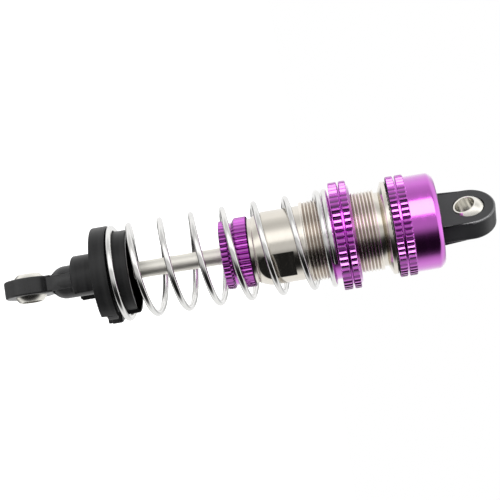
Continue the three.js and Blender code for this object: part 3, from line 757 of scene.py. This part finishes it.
def build_ball(name, node, body, centre, tilt, turn):
    """A bored ball with two flats, its bore along Y before it is tilted about X and turned about Z."""
    r, half, bore, ease = BALL_RADIUS, BALL_HALF_WIDTH, BALL_BORE, 0.05
    flat = math.sqrt(r * r - half * half)
    rise = math.asin(half / r)
    steps = 12  # from the middle to a flat
    round_part = [rise * (i / steps - 1) for i in range(1, 2 * steps)]
    profile = [(bore, -half + ease), (bore + ease, -half), (flat, -half)]
    profile += [(r * math.cos(a), r * math.sin(a)) for a in round_part]
    profile += [(flat, half), (bore + ease, half), (bore, half - ease)]
    mesh = grid_mesh(name, [circle(pr, pz, even_angles(96)) for pr, pz in profile])
    lie = Matrix.Rotation(tilt, 4, "X") @ Matrix.Rotation(math.pi / 2, 4, "X")
    mesh.transform(Matrix.Translation((0, 0, centre * MM)) @ Matrix.Rotation(turn, 4, "Z") @ lie)
    obj = finish_mesh(name, mesh, body, node, angle=30)
    paint(obj, BALL_METAL)


def build_upper_eyelet():
    plug_top, plug_low = CAP_TOP - SEAT_GAP, low("upper_eyelet").z
    shoulder = plug_low + PLUG_FLANGE_THICKNESS
    tongue = plate_mesh(UPPER_EYE_RADIUS, UPPER_EYE_RADIUS, (plug_low + shoulder) / 2, TONGUE_THICKNESS)
    obj = finish_mesh("eyelet_moulded", tongue, "barrel", "upper_eyelet")
    combine(obj, turned_mesh([(0, plug_low), (PLUG_FLANGE_RADIUS, plug_low), (PLUG_FLANGE_RADIUS, shoulder),
                              (PLUG_RADIUS, shoulder), (PLUG_RADIUS, plug_top), (0, plug_top)]), "UNION")
    combine(obj, sphere_mesh(SOCKET_RADIUS))
    clean_cuts(obj)
    paint(obj, GLOSSY_BLACK)
    obj.data.materials.append(RIM_HIGHLIGHT_BLACK)

    def outline(x, y, z):
        return abs(y - TONGUE_THICKNESS / 2) < 0.02 and math.hypot(x, z) > UPPER_EYE_RADIUS - 0.5

    # the rounded rim takes the lighter nylon as a painted highlight
    round_outline(obj, outline, 0.34, slot=1)
    soften(obj, 0.2)
    return obj


def build_retainer():
    t, b = RETAINER_TOP, RETAINER_BOTTOM
    seat = PERCH
    under = t - (RETAINER_CUP_DEPTH + RETAINER_FLANGE)
    pocket = b + POCKET_DEPTH
    hub, rim, cup, hollow = RETAINER_HUB_RADIUS, RETAINER_RADIUS, RETAINER_CUP_RADIUS, RETAINER_CUP_BORE
    profile = [(0, b), (hub - 0.6, b), (hub - 0.25, b + 0.12), (hub, b + 0.5), (hub, under), (rim, under),
               (rim, seat), (cup, seat), (cup, t), (hollow, t), (hollow, t - RETAINER_RECESS),
               (0, t - RETAINER_RECESS)]
    obj = finish_mesh("retainer_moulded", turned_mesh(profile, 128), "perch", "spring_retainer")
    # the pocket for the rod end's boss and the hole for the shaft, each with its slot to the rim
    for half, top in ((POCKET_RADIUS, pocket), (SHAFT_SLOT_RADIUS, t + 1)):
        combine(obj, rod_mesh(half, b - 1, top))
        combine(obj, box_mesh((0, -half, b - 1), (RETAINER_SLOT_REACH, half, top), RETAINER_SLOT_TURN))
    clean_cuts(obj)
    soften(obj, 0.28)
    paint(obj, BLACK)


def build_rod_end():
    boss_top = RETAINER_BOTTOM + ROD_BOSS_HEIGHT
    dome = RETAINER_BOTTOM - ROD_DOME_DROP
    r = ROD_BOSS_RADIUS
    steps = 14
    profile = [(0, dome - r)]
    for i in range(1, steps + 1):
        a = math.pi / 2 * (i / steps - 1)
        profile.append((r * math.cos(a), dome + r * math.sin(a)))
    profile += [(r, boss_top), (0, boss_top)]
    obj = finish_mesh("rod_end_moulded", turned_mesh(profile), "rod", "rod_end")
    place = Matrix.Translation((0, 0, LOWER_EYE * MM)) @ Matrix.Rotation(LOWER_TURN, 4, "Z")
    wide, deep = ROD_ARM_HALF_WIDTH, ROD_ARM_HALF_THICKNESS
    for mesh, operation in (
            (plate_mesh(LOWER_EYE_RADIUS, wide, LOWER_EYE_RADIUS, LOWER_EYE_THICKNESS), "UNION"),
            (box_mesh((-wide, -deep, 0), (wide, deep, ROD_ARM_LENGTH)), "UNION"),
            (sphere_mesh(SOCKET_RADIUS), "DIFFERENCE")):
        mesh.transform(place)
        combine(obj, mesh, operation)
    combine(obj, rod_mesh(ROD_SHAFT_HOLE, SHAFT_BOTTOM - SEAT_GAP, boss_top + 1))
    clean_cuts(obj)

    def outline(x, y, z):
        near = 0.02
        eye = abs(y - LOWER_EYE_THICKNESS / 2) < near and math.hypot(x, z) > LOWER_EYE_RADIUS - 0.35
        arm = abs(y - deep) < near and abs(x - wide) < near and z > 4.3
        return eye or arm

    round_outline(obj, outline, 0.42, place)
    paint(obj, ROD_BLACK)


# ------------------------------------------------------------------ spring

def spring_rise(turn, pitch):
    """Height of the wire's centre above the spring's foot after a number of turns."""
    (a, b), (c, d) = RAMPS

    def span(start, end):
        return min(max(turn, start), end) - start

    def ramp(first, last, start, end):
        t = span(start, end)
        return first * t + (last - first) * t * t / (2 * (end - start))

    return (CLOSED_LOW * span(SPRING_FROM, a) + ramp(CLOSED_LOW, pitch, a, b) + pitch * span(b, c)
            + ramp(pitch, CLOSED_HIGH, c, d) + CLOSED_HIGH * span(d, SPRING_TO))


def spring_line():
    """The wire's centre line, as a mesh of edges."""
    steps_per_turn = 64
    base = spring_rise(SPRING_TO, 0)
    pitch = (SPRING_HEAD - SPRING_FOOT - base) / (spring_rise(SPRING_TO, 1) - base)
    steps = int((SPRING_TO - SPRING_FROM) * steps_per_turn)
    verts = []
    for i in range(steps + 1):
        turn = SPRING_FROM + (SPRING_TO - SPRING_FROM) * i / steps
        a = TAU * turn + SPRING_START_ANGLE
        height = SPRING_FOOT + spring_rise(turn, pitch)
        verts.append((COIL_R * math.cos(a) * MM, COIL_R * math.sin(a) * MM, height * MM))
    mesh = bpy.data.meshes.new("spring_line")
    mesh.from_pydata(verts, [(i, i + 1) for i in range(steps)], [])
    return mesh


def wire_group():
    """Geometry nodes that draw the round wire along its centre line.

    As the preload moves the coil, the line's lower end stays down on the retainer.
    """
    tree = bpy.data.node_groups.new("wire", "GeometryNodeTree")
    for way in ("INPUT", "OUTPUT"):
        tree.interface.new_socket("Geometry", in_out=way, socket_type="NodeSocketGeometry")
    new = tree.nodes.new
    link = tree.links.new
    start = new("NodeGroupInput")

    me = new("GeometryNodeSelfObject")
    where = new("GeometryNodeObjectInfo")
    limits = new("GeometryNodeBoundBox")
    at = new("ShaderNodeSeparateXYZ")
    point = new("ShaderNodeSeparateXYZ")
    foot = new("ShaderNodeSeparateXYZ")
    head = new("ShaderNodeSeparateXYZ")
    left = new("ShaderNodeMapRange")
    left.inputs["To Min"].default_value = -1.0
    left.inputs["To Max"].default_value = 0.0
    drop = new("ShaderNodeMath")
    drop.operation = "MULTIPLY"
    shift = new("ShaderNodeCombineXYZ")
    place = new("GeometryNodeSetPosition")
    link(me.outputs[0], where.inputs["Object"])
    link(where.outputs["Location"], at.inputs[0])
    link(new("GeometryNodeInputPosition").outputs[0], point.inputs[0])
    link(start.outputs[0], limits.inputs[0])
    link(limits.outputs["Min"], foot.inputs[0])
    link(limits.outputs["Max"], head.inputs[0])
    link(point.outputs["Z"], left.inputs["Value"])
    link(foot.outputs["Z"], left.inputs["From Min"])
    link(head.outputs["Z"], left.inputs["From Max"])
    link(left.outputs["Result"], drop.inputs[0])
    link(at.outputs["Z"], drop.inputs[1])
    link(drop.outputs[0], shift.inputs["Z"])
    link(start.outputs[0], place.inputs["Geometry"])
    link(shift.outputs[0], place.inputs["Offset"])

    curve = new("GeometryNodeMeshToCurve")
    section = new("GeometryNodeCurvePrimitiveCircle")
    section.inputs["Resolution"].default_value = 20
    section.inputs["Radius"].default_value = WIRE_R * MM
    tube = new("GeometryNodeCurveToMesh")
    tube.inputs["Fill Caps"].default_value = True
    shade = new("GeometryNodeSetShadeSmooth")
    coat = new("GeometryNodeSetMaterial")
    coat.inputs["Material"].default_value = WIRE
    link(place.outputs[0], curve.inputs[0])
    link(curve.outputs[0], tube.inputs["Curve"])
    link(section.outputs[0], tube.inputs["Profile Curve"])
    link(tube.outputs[0], shade.inputs[0])
    link(shade.outputs[0], coat.inputs[0])
    link(coat.outputs[0], new("NodeGroupOutput").inputs[0])
    return tree


def build_spring():
    obj = linked("spring_wire", spring_line())
    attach(obj, "coil")
    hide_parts("spring")
    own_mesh(obj)
    mod = obj.modifiers.new("wire", "NODES")
    mod.node_group = wire_group()
    paint(obj, WIRE)


STREAKED = [build_cap(), build_collar(), build_upper_eyelet()]
build_seal_cap()
build_body()
build_shaft()
build_ball("upper_ball_turned", "upper_pivot_ball", "upper_ball", 0.0, UPPER_BALL_TILT, 0.0)
build_ball("lower_ball_turned", "lower_pivot_ball", "lower_ball", LOWER_EYE, 0.0, LOWER_TURN)
build_retainer()
build_rod_end()
build_spring()

# the hidden pieces keep their CAD shapes
for mat, hidden in ((RUBBER_AND_SHADE, ("bladder", "collar_friction_ring", "lower_seal", "upper_seal")),
                    (ACETAL, ("shaft_bushing", "seal_spacer", "piston")),
                    (CLIP, ("lower_clip", "upper_clip"))):
    for node in hidden:
        paint(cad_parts[node], mat)


# ------------------------------------------------------------------ camera

VIEW_AZIMUTH = -40
VIEW_ELEVATION = 4.1
CAMERA_DISTANCE = 280
CAMERA_ROLL = math.radians(9.57)  # the damper's lean from the picture's horizontal
VIEW_WIDTH = 102.880658  # across the picture, at the damper
AIM_HEIGHT = -45.3
AIM_RAISE = 0.27
SENSOR_WIDTH = 36


def axes_for(azimuth, elevation):
    """Unit vectors: towards the camera, along the damper as the camera sees it, and up across it."""
    a, e = math.radians(azimuth), math.radians(elevation)
    back = Vector((math.cos(a) * math.cos(e), math.sin(a) * math.cos(e), math.sin(e)))
    along = (Vector((0, 0, 1)) - back * back.z).normalized()
    return back, along, back.cross(along)


def facing(x_axis, y_axis, z_axis):
    return Matrix((x_axis, y_axis, z_axis)).transposed().to_4x4()


BACK, ALONG, ABOVE = axes_for(VIEW_AZIMUTH, VIEW_ELEVATION)
RIGHT = ALONG * math.cos(CAMERA_ROLL) - ABOVE * math.sin(CAMERA_ROLL)
UP = ALONG * math.sin(CAMERA_ROLL) + ABOVE * math.cos(CAMERA_ROLL)
AIM = Vector((0, 0, AIM_HEIGHT * MM)) + UP * AIM_RAISE * MM

camera = bpy.data.cameras.new("camera")
camera.sensor_width = SENSOR_WIDTH
camera.lens = SENSOR_WIDTH * CAMERA_DISTANCE / VIEW_WIDTH
camera.clip_start = 0.01  # metres
camera.clip_end = 20  # metres
rig = linked("camera", camera)
rig.matrix_world = Matrix.Translation(AIM + BACK * CAMERA_DISTANCE * MM) @ facing(RIGHT, UP, BACK)
scene.camera = rig


# ------------------------------------------------------------------ what the metal mirrors

# Brightness by angle in degrees from the camera's direction round the damper: 0 is the camera, 90 is above
# the damper in the picture, 180 is behind it. A long softbox stands above the camera and a black flag
# below it.
SURROUND = (
    (-180, 1.0), (-112, 1.0), (-98, 0.75), (-90, 0.4), (-84, 0.12), (-75, 0.03),
    (-68, 0.012), (-48, 0.012), (-38, 0.025), (-30, 0.07), (-23, 0.3), (-15, 0.56),
    (-8, 0.68), (4, 0.68), (10, 0.68), (14, 0.95), (20, 1.35), (33, 1.5), (45, 1.35),
    (53, 1.0), (61, 0.76), (74, 0.7), (89, 0.84), (106, 1.12), (128, 1.1), (180, 1.0),
)
BRIGHTEST = 1.5
LOWER_POLE = 0.5  # brightness past the damper's lower end
UPPER_POLE = 1.5
CARD_GREY = 0.03
CARD_STRENGTH = 0.8
UPPER_CARD = 0.78  # the upper card's share of the lower one's reach

world = bpy.data.worlds.new("studio")
world.use_nodes = True
scene.world = world
studio = world.node_tree


def dotted(vector, way):
    node = studio.nodes.new("ShaderNodeVectorMath")
    node.operation = "DOT_PRODUCT"
    studio.links.new(vector, node.inputs[0])
    node.inputs[1].default_value = way
    return node.outputs["Value"]


def maths(operation, *values):
    node = studio.nodes.new("ShaderNodeMath")
    node.operation = operation
    for socket, value in zip(node.inputs, values):
        feed(studio, socket, value)
    return node.outputs[0]


direction = studio.nodes.new("ShaderNodeTexCoord").outputs["Generated"]
towards_camera = dotted(direction, BACK)
towards_top = dotted(direction, ALONG)
round_axis = maths("ARCTAN2", dotted(direction, ABOVE), towards_camera)
ramp = studio.nodes.new("ShaderNodeValToRGB")
stops = ramp.color_ramp.elements
stops[0].position = 0.0
stops[1].position = 1.0
for angle, level in SURROUND:
    if angle == -180:
        stop = stops[0]
    elif angle == 180:
        stop = stops[len(stops) - 1]
    else:
        stop = stops.new((angle + 180) / 360)
    grey = level / BRIGHTEST
    stop.color = (grey, grey, grey, 1)
studio.links.new(maths("ADD", maths("DIVIDE", round_axis, TAU), 0.5), ramp.inputs["Fac"])

# past the damper's two ends the surround turns to one brightness each
near_ends = ranged(studio, maths("ABSOLUTE", towards_top), 0.0, 1.0, 0.80, 0.99, "SMOOTHSTEP")
pole = ranged(studio, towards_top, LOWER_POLE / BRIGHTEST, UPPER_POLE / BRIGHTEST, -0.5, 0.5)
surround = mixed(studio, near_ends, ramp.outputs["Color"], pole)

# two dark cards behind the damper, past its ends, which draw the dark edges of the wire
behind = maths("MAXIMUM", maths("MULTIPLY", towards_camera, -1.0), 0.0)
past_ends = maths("MAXIMUM", maths("MULTIPLY", towards_top, -1.0), maths("MULTIPLY", towards_top, UPPER_CARD))
cards = ranged(studio, maths("MULTIPLY", behind, past_ends), 0.0, CARD_STRENGTH, 0.26, 0.42, "SMOOTHSTEP")
carded = mixed(studio, cards, surround, (CARD_GREY, CARD_GREY, CARD_GREY, 1))

lit = studio.nodes["Background"]
studio.links.new(carded, lit.inputs["Color"])
lit.inputs["Strength"].default_value = BRIGHTEST
plain = studio.nodes.new("ShaderNodeBackground")
plain.inputs["Color"].default_value = (1, 1, 1, 1)
seen = studio.nodes.new("ShaderNodeMixShader")
studio.links.new(studio.nodes.new("ShaderNodeLightPath").outputs["Is Camera Ray"], seen.inputs[0])
studio.links.new(lit.outputs[0], seen.inputs[1])
studio.links.new(plain.outputs[0], seen.inputs[2])
studio.links.new(seen.outputs[0], studio.nodes["World Output"].inputs["Surface"])


# ------------------------------------------------------------------ lamp and floor

# a long lamp over the camera that lights only the cap, the collar and the upper eye, for their pale streaks
LAMP_LENGTH = 1.6  # metres, along the damper
LAMP_WIDTH = 0.40
LAMP_DISTANCE = 0.6
LAMP_BRIGHTNESS = 3.4
LAMP_LEAN = math.radians(36)  # from the camera's direction

lamp_data = bpy.data.lights.new("streak", "AREA")
lamp_data.shape = "RECTANGLE"
lamp_data.size = LAMP_LENGTH
lamp_data.size_y = LAMP_WIDTH
lamp_data.energy = LAMP_BRIGHTNESS * math.pi * LAMP_LENGTH * LAMP_WIDTH
lamp = linked("streak", lamp_data)
away = BACK * math.cos(LAMP_LEAN) + ABOVE * math.sin(LAMP_LEAN)
lamp.matrix_world = Matrix.Translation(AIM + away * LAMP_DISTANCE) @ facing(ALONG, away.cross(ALONG), away)
streaked = bpy.data.collections.new("streaked")
for piece in STREAKED:
    streaked.objects.link(piece)
lamp.light_linking.receiver_collection = streaked

# a plain pale floor below the hanging damper, which glows a little and isn't mirrored in it
FLOOR_REACH = 3  # metres
FLOOR_HEIGHT = -0.13
FLOOR_GLOW = 0.7

floor_mesh = bpy.data.meshes.new("floor")
corners = [(x * FLOOR_REACH, y * FLOOR_REACH, 0) for x, y in ((-1, -1), (1, -1), (1, 1), (-1, 1))]
floor_mesh.from_pydata(corners, [], [(0, 1, 2, 3)])
floor = linked("floor", floor_mesh)
floor.location = (0, 0, FLOOR_HEIGHT)
floor_mat, floor_tree, floor_shader = new_material("pale_floor")
floor_shader.inputs["Roughness"].default_value = 0.9
floor_shader.inputs["Specular IOR Level"].default_value = 0.1
floor_tint = tinted(floor_tree, noise(floor_tree, 12, detail=3.0), (0.86, 0.86, 0.86), (0.9, 0.9, 0.9))
floor_tree.links.new(floor_tint, floor_shader.inputs["Base Color"])
floor_shader.inputs["Emission Color"].default_value = (1, 1, 1, 1)
floor_shader.inputs["Emission Strength"].default_value = FLOOR_GLOW
floor_mesh.materials.append(floor_mat)
floor.visible_glossy = False

scene.view_settings.view_transform = "Standard"
scene.view_settings.look = "None"
